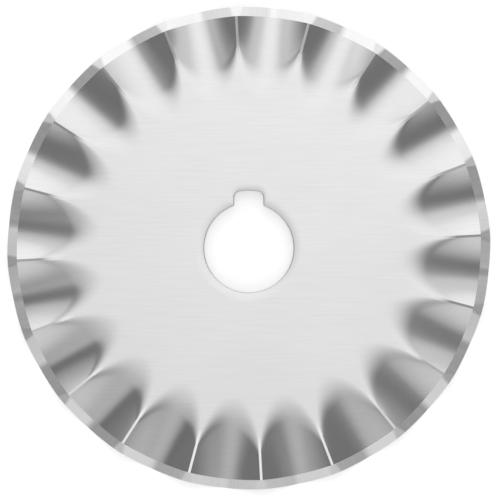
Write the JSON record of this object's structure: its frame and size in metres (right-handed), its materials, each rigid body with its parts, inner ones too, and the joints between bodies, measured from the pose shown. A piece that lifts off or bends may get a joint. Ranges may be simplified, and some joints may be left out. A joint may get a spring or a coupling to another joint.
{
  "type": "rotary cutter blade",
  "caption": "Round fluted blade of thin stainless sheet with a flat centre, a notched central bore and a two-sided ground edge that cuts a scalloped line.",
  "frame": {"origin": "on the bore's axis, level with the surface that the flutes' lowest points rest on", "axes": "+Z along the bore's axis, out of the face that the ridges stand on; +Y from the axis towards the bore's notch; +X to the right of the notch seen from above"},
  "size_m": [0.045, 0.045, 0.0011],
  "materials": {
    "steel": "satin rolled stainless sheet with a brighter ground edge"
  },
  "bodies": {
    "root": {"blade": "steel"}
  },
  "joints": []
}
